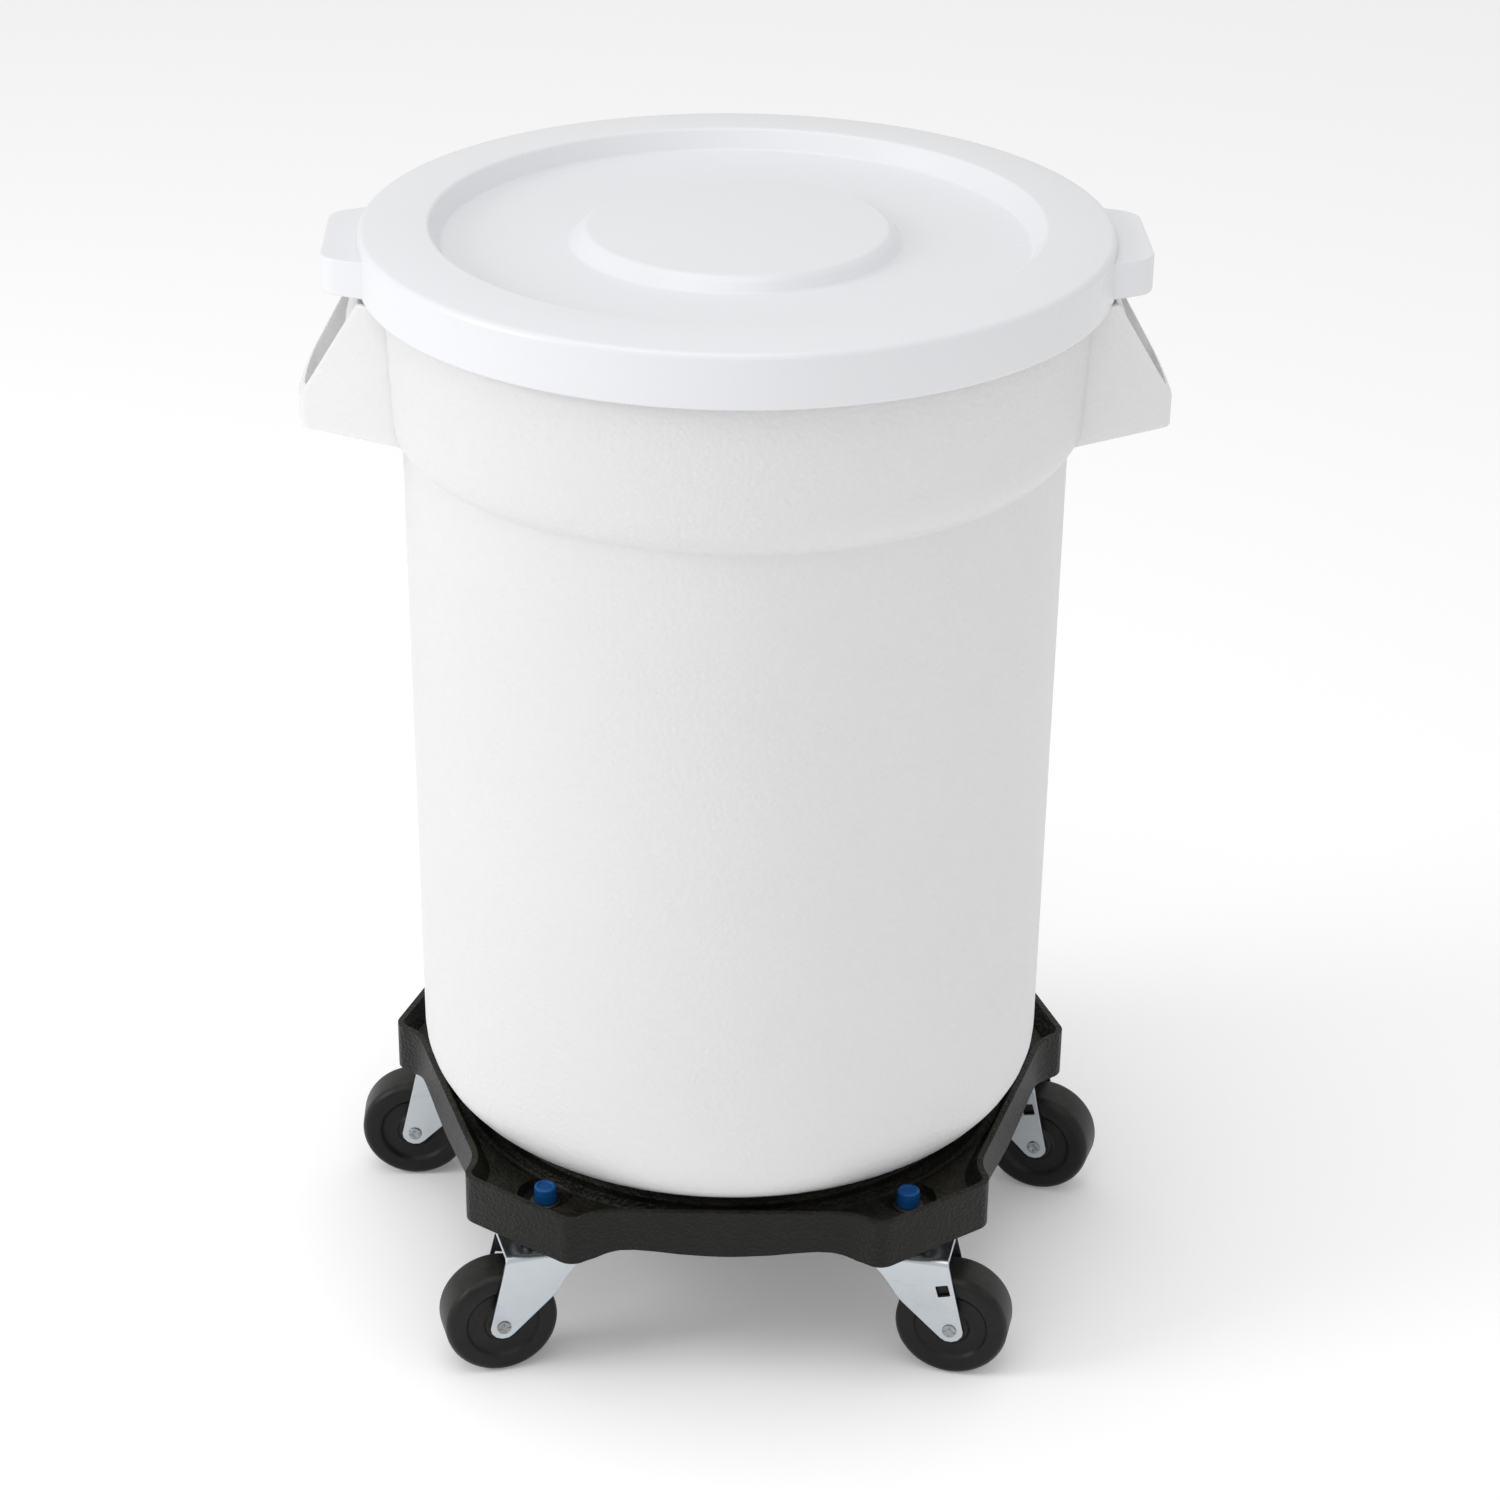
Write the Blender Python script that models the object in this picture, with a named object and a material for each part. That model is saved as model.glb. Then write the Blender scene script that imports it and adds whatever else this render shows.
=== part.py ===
"""Lidded wash bucket of about 76 litres on a five-caster dolly.

Frame: metres, +Z up, origin on the floor at the centre of the dolly. -Y is the front, between two
casters. The bucket's two handles point along X, turned a little on the dolly, as it was set down.
Each caster part is modelled about its own swivel axis, with the wheel trailing along local +X.
"""

import math

import bmesh
import bpy
from mathutils import Matrix, Vector

MM = 0.001
GAP = 0.3 * MM

# Driving dimensions: wheels and casters
WHEEL_RADIUS = 38.1 * MM
WHEEL_WIDTH = 33.4 * MM
SWIVEL_RADIUS = 205 * MM
TRAIL = 34 * MM
AXLE_RADIUS = 4 * MM
AXLE_HEAD_RADIUS = 4.8 * MM
BUSHING_RADIUS = 6.4 * MM
FORK_INNER_HALF = 17.4 * MM
FORK_SHEET = 2.3 * MM
FORK_END_RADIUS = 9.2 * MM
CROWN_TOP = 92 * MM
# name, angle of the lobe from the front, heading of the wheel behind its swivel axis (degrees)
CASTERS = (
    ("front_left", -36.0, 196.0),
    ("front_right", 36.0, -12.0),
    ("side_left", -108.0, 182.0),
    ("side_right", 108.0, -19.0),
    ("rear", 180.0, 180.0),
)

# Driving dimensions: dolly
DOLLY_BOTTOM = 104.5 * MM
DECK_TOP = 120 * MM
DECK_BOTTOM = 116 * MM
RIM_TOP = 138.6 * MM
SIDE_DISTANCE = 205 * MM
LOBE_FACE = 236 * MM
LOBE_TIP_HALF = 46 * MM
LOBE_ROOT_HALF = 54 * MM
RIM_WALL = 8 * MM
SEAT_RADIUS = 168 * MM
SEAT_TOP = 136.7 * MM
LOCATOR_RADIUS = 142 * MM
LOCATOR_TOP = 141 * MM
STEM_RADIUS = 5.5 * MM

# Driving dimensions: bucket
BUCKET_TURN = math.radians(1.9)
BASE_BOTTOM = 137 * MM
BASE_RADIUS = 171 * MM
BASE_FILLET = 41 * MM
BASE_RECESS_RADIUS = 144 * MM
BASE_RECESS = 6 * MM
WALL_TOP_RADIUS = 214 * MM
COLLAR_LINE = 612 * MM
COLLAR_LOW_RADIUS = 226 * MM
COLLAR_TOP_RADIUS = 229 * MM
BEAD_RADIUS = 234.3 * MM
BEAD_BOTTOM = 727 * MM
BUCKET_TOP = 741.7 * MM
BUCKET_WALL = 3.5 * MM

# Driving dimensions: handles of the bucket
HANDLE_ROOT_X = 214.6 * MM
HANDLE_ROOT_HALF = 70 * MM
HANDLE_TIP_X = 276 * MM
HANDLE_TIP_HALF = 36 * MM
HANDLE_BOTTOM = 622 * MM
HANDLE_TIP_TOP = 642 * MM
HANDLE_HIGH_X = 236 * MM
HANDLE_HIGH_Z = 711 * MM
HANDLE_SHEET = 4 * MM
ROOF_END_X = 243 * MM

# Driving dimensions: lid
LID_EDGE_RADIUS = 238 * MM
LID_EDGE_ROUNDING = 5 * MM
LID_EDGE_TOP = 745.5 * MM
LID_RIM_UNDERSIDE = 742 * MM
SKIRT_BOTTOM = 711.5 * MM
SKIRT_RADIUS = 238.8 * MM
RING_INNER_RADIUS = 194 * MM
RING_INNER_TOP = 748 * MM
FLOOR_RADIUS = 186 * MM
LID_FLOOR = 734 * MM
LID_SHEET = 3 * MM
PLATEAU_RADIUS = 96.5 * MM
PLATEAU_BASE = 106 * MM
PLATEAU_TOP = 743.6 * MM
TAB_ROOT_HALF = 56 * MM
TAB_TIP_HALF = 45 * MM
TAB_TIP_X = 259 * MM
TAB_TOP = 737 * MM
TAB_BOTTOM = 714 * MM

SHELL_STEPS = 44
RACE_STEPS = 18
SMALL_STEPS = 12
WHEEL_STEPS = 24


# ---------------------------------------------------------------- helpers
def clear_scene():
    for obj in list(bpy.data.objects):
        bpy.data.objects.remove(obj, do_unlink=True)


def material(name, colour, roughness, metallic=0.0):
    mat = bpy.data.materials.new(name)
    mat.use_nodes = True
    shader = mat.node_tree.nodes["Principled BSDF"]
    shader.inputs["Base Color"].default_value = (*colour, 1.0)
    shader.inputs["Roughness"].default_value = roughness
    shader.inputs["Metallic"].default_value = metallic
    return mat


def mesh_from(bm, name):
    """Merge doubled points, turn the faces outwards and hand the mesh over."""
    bmesh.ops.remove_doubles(bm, verts=bm.verts, dist=0.00001)
    bmesh.ops.recalc_face_normals(bm, faces=bm.faces)
    mesh = bpy.data.meshes.new(name)
    bm.to_mesh(mesh)
    bm.free()
    return mesh


def add_object(name, mesh, mat=None, location=(0, 0, 0), turn=0.0, parent=None):
    obj = bpy.data.objects.new(name, mesh)
    bpy.context.scene.collection.objects.link(obj)
    obj.location = location
    obj.rotation_euler = (0.0, 0.0, turn)
    obj.parent = parent
    if mat is not None:
        mesh.materials.clear()
        mesh.materials.append(mat)
        mesh.shade_smooth()
        mesh.set_sharp_from_angle(angle=math.radians(35))
    return obj


def turned(profile, steps, name="turned", axis=(0, 0, 1)):
    """A closed profile of (radius, height) points spun once round an axis (Z, or Y for wheels)."""
    bm = bmesh.new()
    along = Vector(axis)
    verts = [bm.verts.new(Vector((r, 0, 0)) + along * h) for r, h in profile]
    edges = [bm.edges.new((verts[i], verts[(i + 1) % len(verts)])) for i in range(len(verts))]
    bmesh.ops.spin(
        bm, geom=verts + edges, cent=(0, 0, 0), axis=along, angle=math.tau, steps=steps, use_merge=True
    )
    bmesh.ops.dissolve_degenerate(bm, dist=0.00001, edges=bm.edges)
    return mesh_from(bm, name)


def prism(outline, low, high, name="prism"):
    """A flat outline of (x, y) points raised from one height to another."""
    bm = bmesh.new()
    face = bm.faces.new([bm.verts.new((x, y, low)) for x, y in outline])
    raised = bmesh.ops.extrude_face_region(bm, geom=[face])
    top = [v for v in raised["geom"] if isinstance(v, bmesh.types.BMVert)]
    bmesh.ops.translate(bm, verts=top, vec=(0, 0, high - low))
    return mesh_from(bm, name)


def hull(points, name="hull"):
    bm = bmesh.new()
    for point in points:
        bm.verts.new(point)
    bmesh.ops.convex_hull(bm, input=bm.verts)
    bmesh.ops.dissolve_limit(bm, angle_limit=0.001, verts=bm.verts, edges=bm.edges)
    return mesh_from(bm, name)


def combine(mesh, others, operation):
    """Apply EXACT booleans of several tool meshes to one mesh and return the result."""
    scratch = bpy.data.objects.new("scratch", mesh)
    bpy.context.scene.collection.objects.link(scratch)
    tools = []
    for other in others:
        tool = bpy.data.objects.new("tool", other)
        bpy.context.scene.collection.objects.link(tool)
        step = scratch.modifiers.new("step", "BOOLEAN")
        step.operation = operation
        step.solver = "EXACT"
        step.object = tool
        tools.append(tool)
    graph = bpy.context.evaluated_depsgraph_get()
    result = bpy.data.meshes.new_from_object(scratch.evaluated_get(graph))
    for obj in tools + [scratch]:
        bpy.data.objects.remove(obj, do_unlink=True)
    return result


def moved(mesh, x=0.0, y=0.0, z=0.0, turn=0.0):
    copy = mesh.copy()
    copy.transform(Matrix.Translation((x, y, z)) @ Matrix.Rotation(turn, 4, "Z"))
    return copy


def arc(centre, radius, start, end, steps):
    """Points on an arc in the profile plane, angles in degrees from the +radius direction."""
    points = []
    for i in range(steps + 1):
        angle = math.radians(start + (end - start) * i / steps)
        points.append((centre[0] + radius * math.cos(angle), centre[1] + radius * math.sin(angle)))
    return points


def lobe_direction(angle_deg):
    angle = math.radians(angle_deg)
    return Vector((math.sin(angle), -math.cos(angle)))


# ---------------------------------------------------------------- bucket
def bucket_outer():
    """Outer line of the bucket from the recessed base centre up to the top of the rim bead."""
    fillet_centre = (BASE_RADIUS, BASE_BOTTOM + BASE_FILLET)
    line = [(0.0, BASE_BOTTOM + BASE_RECESS), (BASE_RECESS_RADIUS, BASE_BOTTOM + BASE_RECESS)]
    line.append((BASE_RECESS_RADIUS + 3 * MM, BASE_BOTTOM))
    line += arc(fillet_centre, BASE_FILLET, -90, 0, 6)
    line += [
        (WALL_TOP_RADIUS, COLLAR_LINE),
        (WALL_TOP_RADIUS + 3 * MM, COLLAR_LINE + 4 * MM),
        (COLLAR_LOW_RADIUS - 3 * MM, COLLAR_LINE + 10 * MM),
        (COLLAR_LOW_RADIUS, COLLAR_LINE + 20 * MM),
        (COLLAR_TOP_RADIUS, BEAD_BOTTOM - 6 * MM),
    ]
    return line


def bucket_inner(wall):
    """The same line one wall thickness inside, from the rim down to the base centre."""
    fillet_centre = (BASE_RADIUS, BASE_BOTTOM + BASE_FILLET)
    line = [
        (COLLAR_TOP_RADIUS - wall, BEAD_BOTTOM - 6 * MM),
        (COLLAR_LOW_RADIUS - wall, COLLAR_LINE + 19 * MM),
        (COLLAR_LOW_RADIUS - 3 * MM - wall, COLLAR_LINE + 9 * MM),
        (WALL_TOP_RADIUS - wall, COLLAR_LINE),
    ]
    line += arc(fillet_centre, BASE_FILLET - wall, 0, -90, 6)
    line += [
        (BASE_RECESS_RADIUS + 5.5 * MM, BASE_BOTTOM + wall),
        (BASE_RECESS_RADIUS + 2.5 * MM, BASE_BOTTOM + BASE_RECESS + wall),
        (0.0, BASE_BOTTOM + BASE_RECESS + wall),
    ]
    return line


def bucket_profile():
    bead = [
        (BEAD_RADIUS - 3 * MM, BEAD_BOTTOM - 1.5 * MM),
        (BEAD_RADIUS, BEAD_BOTTOM + 2 * MM),
        (BEAD_RADIUS - 0.7 * MM, BUCKET_TOP - 5 * MM),
        (BEAD_RADIUS - 3 * MM, BUCKET_TOP),
        (COLLAR_TOP_RADIUS - 2 * MM, BUCKET_TOP),
        (COLLAR_TOP_RADIUS - BUCKET_WALL, BUCKET_TOP - 2 * MM),
    ]
    return bucket_outer() + bead + bucket_inner(BUCKET_WALL)


def mid_wall_plug():
    """A solid out to the middle of the wall: it trims what would stand inside the bucket."""
    line = bucket_inner(BUCKET_WALL / 2)
    return turned([(0.0, BUCKET_TOP + 20 * MM), (line[0][0], BUCKET_TOP + 20 * MM)] + line, SHELL_STEPS)


def handle_half(x):
    """Half width of a handle at a distance x from the bucket's axis: its webs close in outwards."""
    share = (x - HANDLE_ROOT_X) / (HANDLE_TIP_X - HANDLE_ROOT_X)
    return HANDLE_ROOT_HALF + (HANDLE_TIP_HALF - HANDLE_ROOT_HALF) * share


def handle_height(x):
    """Height of the straight top edge of a handle at a distance x."""
    share = (x - HANDLE_HIGH_X) / (HANDLE_TIP_X - HANDLE_HIGH_X)
    return HANDLE_HIGH_Z + (HANDLE_TIP_TOP - HANDLE_HIGH_Z) * share


def handle_block(inset, inner_x, outer_x, low, raise_top):
    """The wedge of a handle, pulled in sideways by inset, between two distances from the axis."""
    points = []
    for x in (inner_x, HANDLE_HIGH_X, outer_x):
        half = handle_half(x) - inset
        top = min(handle_height(x), HANDLE_HIGH_Z) + raise_top
        for side in (-1, 1):
            points += [(x, side * half, low), (x, side * half, top)]
    return hull(points)


def handle():
    """Two webs, a sloped roof next to the bucket, and a grip bar; open below and above the bar."""
    inner_x = 195 * MM
    block = handle_block(0.0, inner_x, HANDLE_TIP_X, HANDLE_BOTTOM, 0.0)
    below = HANDLE_BOTTOM - 20 * MM
    web = HANDLE_SHEET * 1.15
    bar_inner = HANDLE_TIP_X - HANDLE_SHEET
    under_roof = handle_block(web, inner_x - 10 * MM, bar_inner, below, -HANDLE_SHEET * 2.0)
    over_bar = handle_block(web, ROOF_END_X, bar_inner, below, 30 * MM)
    return combine(block, [under_roof, over_bar, mid_wall_plug()], "DIFFERENCE")


def bucket():
    shell = turned(bucket_profile(), SHELL_STEPS)
    right = handle()
    left = moved(right, turn=math.pi)
    return combine(shell, [right, left], "UNION")


# ---------------------------------------------------------------- lid
def lid_profile():
    corner_centre = (LID_EDGE_RADIUS - LID_EDGE_ROUNDING, LID_EDGE_TOP - LID_EDGE_ROUNDING)
    rim_corner = arc(corner_centre, LID_EDGE_ROUNDING, 90, 10, 3)
    return [
        (0.0, PLATEAU_TOP),
        (PLATEAU_RADIUS, PLATEAU_TOP),
        (PLATEAU_RADIUS + 3 * MM, PLATEAU_TOP - 2.5 * MM),
        (PLATEAU_BASE, LID_FLOOR),
        (FLOOR_RADIUS, LID_FLOOR),
        (RING_INNER_RADIUS - 1 * MM, RING_INNER_TOP - 1.5 * MM),
        (RING_INNER_RADIUS + 2 * MM, RING_INNER_TOP),
        *rim_corner,
        (SKIRT_RADIUS, SKIRT_BOTTOM + 2 * MM),
        (SKIRT_RADIUS - 1 * MM, SKIRT_BOTTOM),
        (SKIRT_RADIUS - LID_SHEET, SKIRT_BOTTOM),
        (LID_EDGE_RADIUS - LID_SHEET, LID_RIM_UNDERSIDE - 2 * MM),
        (LID_EDGE_RADIUS - LID_SHEET - 2 * MM, LID_RIM_UNDERSIDE),
        (RING_INNER_RADIUS + 3 * MM, LID_RIM_UNDERSIDE),
        (FLOOR_RADIUS + 2.5 * MM, LID_FLOOR - LID_SHEET),
        (PLATEAU_BASE - 1 * MM, LID_FLOOR - LID_SHEET),
        (PLATEAU_RADIUS - 1 * MM, PLATEAU_TOP - LID_SHEET),
        (0.0, PLATEAU_TOP - LID_SHEET),
    ]


def tab_block(inset, low, top, inner_x):
    def half(x):
        share = (x - 234 * MM) / (TAB_TIP_X - 234 * MM)
        return TAB_ROOT_HALF + (TAB_TIP_HALF - TAB_ROOT_HALF) * share - inset

    points = []
    for side in (-1, 1):
        for x, z in ((inner_x, low), (inner_x, top), (TAB_TIP_X - inset, low)):
            points.append((x, side * half(x), z))
        tip_top_x = TAB_TIP_X - 3 * MM - inset
        points.append((tip_top_x, side * half(tip_top_x), top))
    return hull(points)


def lid():
    shell = turned(lid_profile(), SHELL_STEPS)
    tab = tab_block(0.0, TAB_BOTTOM, TAB_TOP, 228 * MM)
    hollow = tab_block(LID_SHEET, TAB_BOTTOM - 10 * MM, TAB_TOP - LID_SHEET, 220 * MM)
    skirt_cone = [
        (0.0, TAB_BOTTOM - 20 * MM),
        (SKIRT_RADIUS - 1.5 * MM, TAB_BOTTOM - 20 * MM),
        (SKIRT_RADIUS - 1.5 * MM, SKIRT_BOTTOM),
        (LID_EDGE_RADIUS - 1.5 * MM, LID_RIM_UNDERSIDE - 2 * MM),
        (0.0, LID_RIM_UNDERSIDE - 2 * MM),
    ]
    right = combine(tab, [hollow, turned(skirt_cone, SHELL_STEPS)], "DIFFERENCE")
    left = moved(right, turn=math.pi)
    return combine(shell, [right, left], "UNION")


# ---------------------------------------------------------------- dolly
def dolly_outline(inset):
    """Five straight sides and five lobes; inset moves every side inwards."""
    side = SIDE_DISTANCE - inset
    outline = []
    for i in range(5):
        angle = -108 + 72 * i
        out = lobe_direction(angle)
        across = Vector((-out.y, out.x))
        half_root = LOBE_ROOT_HALF - inset
        # where the lobe's flank meets the straight side, whose normal is 36 degrees away
        root = (side - half_root * math.sin(math.radians(36))) / math.cos(math.radians(36))
        corners = (
            (root, -half_root),
            (LOBE_FACE - inset, inset - LOBE_TIP_HALF),
            (LOBE_FACE - inset, LOBE_TIP_HALF - inset),
            (root, half_root),
        )
        outline += [tuple(out * t + across * s) for t, s in corners]
    return outline


def rounded(outline, radius, low, high):
    """A prism on an outline whose upright corners are rounded."""
    bm = bmesh.new()
    face = bm.faces.new([bm.verts.new((x, y, low)) for x, y in outline])
    raised = bmesh.ops.extrude_face_region(bm, geom=[face])
    top = [v for v in raised["geom"] if isinstance(v, bmesh.types.BMVert)]
    bmesh.ops.translate(bm, verts=top, vec=(0, 0, high - low))
    upright = [e for e in bm.edges if abs(e.verts[0].co.z - e.verts[1].co.z) > (high - low) / 2]
    bmesh.ops.bevel(
        bm, geom=upright, offset=radius, segments=3, profile=0.5, affect="EDGES", material=-1
    )
    return mesh_from(bm, "rounded")


def sector(inner, outer, centre_deg, low, high, rib):
    """A pocket between two radii and two radial ribs, one tenth of the circle wide."""
    outline = []
    for radius, order in ((inner, (-1, 0, 1)), (outer, (1, 0, -1))):
        half = math.radians(18) - math.asin(rib / 2 / radius)
        for share in order:
            direction = lobe_direction(centre_deg + math.degrees(half) * share)
            outline.append(tuple(direction * radius))
    return prism(outline, low, high)


def dolly():
    body = rounded(dolly_outline(0.0), 7 * MM, DOLLY_BOTTOM, RIM_TOP)
    tray = rounded(dolly_outline(RIM_WALL), 5 * MM, DECK_TOP, RIM_TOP + 10 * MM)
    body = combine(body, [tray], "DIFFERENCE")
    seat = [
        (0.0, DECK_BOTTOM),
        (SEAT_RADIUS, DECK_BOTTOM),
        (SEAT_RADIUS - 1 * MM, SEAT_TOP),
        (LOCATOR_RADIUS, SEAT_TOP),
        (LOCATOR_RADIUS - 2 * MM, LOCATOR_TOP),
        (0.0, LOCATOR_TOP),
    ]
    body = combine(body, [turned(seat, SHELL_STEPS)], "UNION")
    pockets = []
    for i in range(10):
        centre = 18 + 36 * i
        low = DOLLY_BOTTOM - 10 * MM
        pockets.append(sector(32 * MM, 92 * MM, centre, low, SEAT_TOP - 4 * MM, 5 * MM))
        pockets.append(sector(98 * MM, 158 * MM, centre, low, SEAT_TOP - 4 * MM, 5 * MM))
    for i in range(5):
        # the shallow pockets outside the seat lie between the caster bosses
        out = lobe_direction(72 * i)
        across = Vector((-out.y, out.x))
        corners = ((170, -96), (SIDE_DISTANCE / MM - 6, -88), (SIDE_DISTANCE / MM - 6, 88), (170, 96))
        pocket = [tuple(out * (t * MM) + across * (s * MM)) for t, s in corners]
        pockets.append(prism(pocket, DOLLY_BOTTOM - 10 * MM, DECK_BOTTOM))
    bore = turned(
        [
            (0.0, DOLLY_BOTTOM - 10 * MM),
            (STEM_RADIUS + GAP, DOLLY_BOTTOM - 10 * MM),
            (STEM_RADIUS + GAP, DECK_TOP + 10 * MM),
            (0.0, DECK_TOP + 10 * MM),
        ],
        SMALL_STEPS,
    )
    for _, angle, _ in CASTERS:
        spot = lobe_direction(angle) * SWIVEL_RADIUS
        pockets.append(moved(bore, spot.x, spot.y))
    return combine(body, pockets, "DIFFERENCE")


# ---------------------------------------------------------------- caster
def ring(inner, outer, low, high, chamfer=0.0, steps=SMALL_STEPS):
    profile = [
        (inner, low),
        (outer - chamfer, low),
        (outer, low + chamfer),
        (outer, high - chamfer),
        (outer - chamfer, high),
        (inner, high),
    ]
    if chamfer == 0.0:
        profile = [(inner, low), (outer, low), (outer, high), (inner, high)]
    return turned(profile, steps)


def stem():
    """Kingpin: its head under the crown carries the fork, its shank stands in the dolly."""
    head_top = CROWN_TOP - FORK_SHEET - GAP
    return turned(
        [
            (0.0, head_top - 3 * MM),
            (8 * MM, head_top - 3 * MM),
            (9.5 * MM, head_top - 2 * MM),
            (9.5 * MM, head_top),
            (STEM_RADIUS, head_top),
            (STEM_RADIUS, 128.5 * MM),
            (STEM_RADIUS - 1 * MM, 129.5 * MM),
            (0.0, 129.5 * MM),
        ],
        SMALL_STEPS,
    )


def cap():
    """Push-on plastic cap over the top of the stem, dished on top, open below."""
    return turned(
        [
            (STEM_RADIUS + GAP, 122.1 * MM),
            (7.7 * MM, 122.1 * MM),
            (7.5 * MM, 132.2 * MM),
            (6.8 * MM, 133 * MM),
            (5.2 * MM, 133 * MM),
            (4.6 * MM, 132.2 * MM),
            (0.0, 132.2 * MM),
            (0.0, 129.9 * MM),
            (STEM_RADIUS + GAP, 129.9 * MM),
        ],
        SMALL_STEPS,
    )


def top_race():
    """Pressed plate under the lobe, dished down to the upper ball track."""
    high = DOLLY_BOTTOM - GAP
    return turned(
        [
            (STEM_RADIUS + GAP, high - 2 * MM),
            (13 * MM, high - 2 * MM),
            (15 * MM, 98.2 * MM),
            (21.5 * MM, 98.2 * MM),
            (24 * MM, high - 1.5 * MM),
            (24 * MM, high),
            (STEM_RADIUS + GAP, high),
        ],
        RACE_STEPS,
    )


def ball_ring():
    """The swivel's balls with their cage, as one ring between the two ball tracks."""
    return ring(13 * MM, 20 * MM, CROWN_TOP + GAP, 97.9 * MM, 1.6 * MM, RACE_STEPS)


def fork_leg_outline():
    """Side view of a leg: wide under the crown, tapering to a round end about the axle."""
    end = arc((TRAIL, WHEEL_RADIUS), FORK_END_RADIUS, 15, -132, 5)
    rear = [(-20 * MM, CROWN_TOP), (31 * MM, CROWN_TOP)]
    front = [(-1 * MM, 58.5 * MM), (-11 * MM, 74 * MM), (-20 * MM, 84 * MM)]
    return rear + end + front


def brake_hole():
    """Cutter for the square hole punched in the -Y leg, lying along the leg's slanted edge."""
    side = 8.4 * MM
    cutter = prism(
        [(-side / 2, -side / 2), (side / 2, -side / 2), (side / 2, side / 2), (-side / 2, side / 2)],
        FORK_INNER_HALF - 5 * MM,
        FORK_INNER_HALF + 10 * MM,
    )
    cutter.transform(Matrix.Rotation(math.radians(15), 4, "Z"))
    cutter.transform(Matrix.Translation((28.5 * MM, 69 * MM, 0)))
    cutter.transform(Matrix.Rotation(math.radians(90), 4, "X"))
    return cutter


def fork():
    """One bent strip: a flat crown on top and two legs that hold the axle behind the swivel."""
    outer = FORK_INNER_HALF + FORK_SHEET
    plate = prism(fork_leg_outline(), -outer, outer)
    plate.transform(Matrix.Rotation(math.radians(90), 4, "X"))
    bend = 4 * MM
    crown_edges = hull(
        [
            (x, side * y, z)
            for x in (-50 * MM, 70 * MM)
            for side in (-1, 1)
            for y, z in ((outer + GAP, 0.0), (outer, CROWN_TOP - bend), (outer - bend, CROWN_TOP))
        ]
    )
    plate = combine(plate, [crown_edges], "INTERSECT")
    span = 90 * MM
    inner = FORK_INNER_HALF
    room = hull(
        [
            (x, side * y, z)
            for x in (-span, span)
            for side in (-1, 1)
            for y, z in (
                (inner, -10 * MM),
                (inner, CROWN_TOP - bend - 1 * MM),
                (inner - bend + 1.3 * MM, CROWN_TOP - FORK_SHEET),
            )
        ]
    )
    axle_hole = turned(
        [(0.0, -span), (AXLE_RADIUS + GAP, -span), (AXLE_RADIUS + GAP, span), (0.0, span)],
        SMALL_STEPS,
        axis=(0, 1, 0),
    )
    axle_hole.transform(Matrix.Translation((TRAIL, 0, WHEEL_RADIUS)))
    stem_hole = plug(STEM_RADIUS + GAP, 80 * MM, 100 * MM)
    return combine(plate, [room, axle_hole, stem_hole, brake_hole()], "DIFFERENCE")


def plug(radius, low, high):
    return turned([(0.0, low), (radius, low), (radius, high), (0.0, high)], SMALL_STEPS)


def axle_rivet():
    """Axle pin through both legs, its two ends staked to small heads, along Y about the axle."""
    face = FORK_INNER_HALF + FORK_SHEET + GAP
    half = [
        (AXLE_RADIUS, face),
        (AXLE_HEAD_RADIUS, face),
        (AXLE_HEAD_RADIUS - 0.8 * MM, face + 1.2 * MM),
        (0.0, face + 1.2 * MM),
    ]
    other = [(r, -h) for r, h in reversed(half)]
    return turned(other + half, SMALL_STEPS, axis=(0, 1, 0))


def bushing():
    half = FORK_INNER_HALF - GAP
    inner = AXLE_RADIUS + GAP
    return turned(
        [(inner, -half), (BUSHING_RADIUS, -half), (BUSHING_RADIUS, half), (inner, half)],
        SMALL_STEPS,
        axis=(0, 1, 0),
    )


def wheel():
    """Hard rubber wheel: rounded tread, a grooved web and a raised hub on each side."""
    half = WHEEL_WIDTH / 2
    side = [
        (BUSHING_RADIUS + GAP, half + 0.3 * MM),
        (12 * MM, half + 0.3 * MM),
        (14 * MM, half - 3 * MM),
        (23.5 * MM, half - 3 * MM),
        (25.5 * MM, half - 0.2 * MM),
        (34.5 * MM, half - 0.5 * MM),
        (WHEEL_RADIUS, half - 3.5 * MM),
    ]
    other = [(r, -h) for r, h in reversed(side)]
    return turned(side + other, WHEEL_STEPS, axis=(0, 1, 0))


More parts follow.
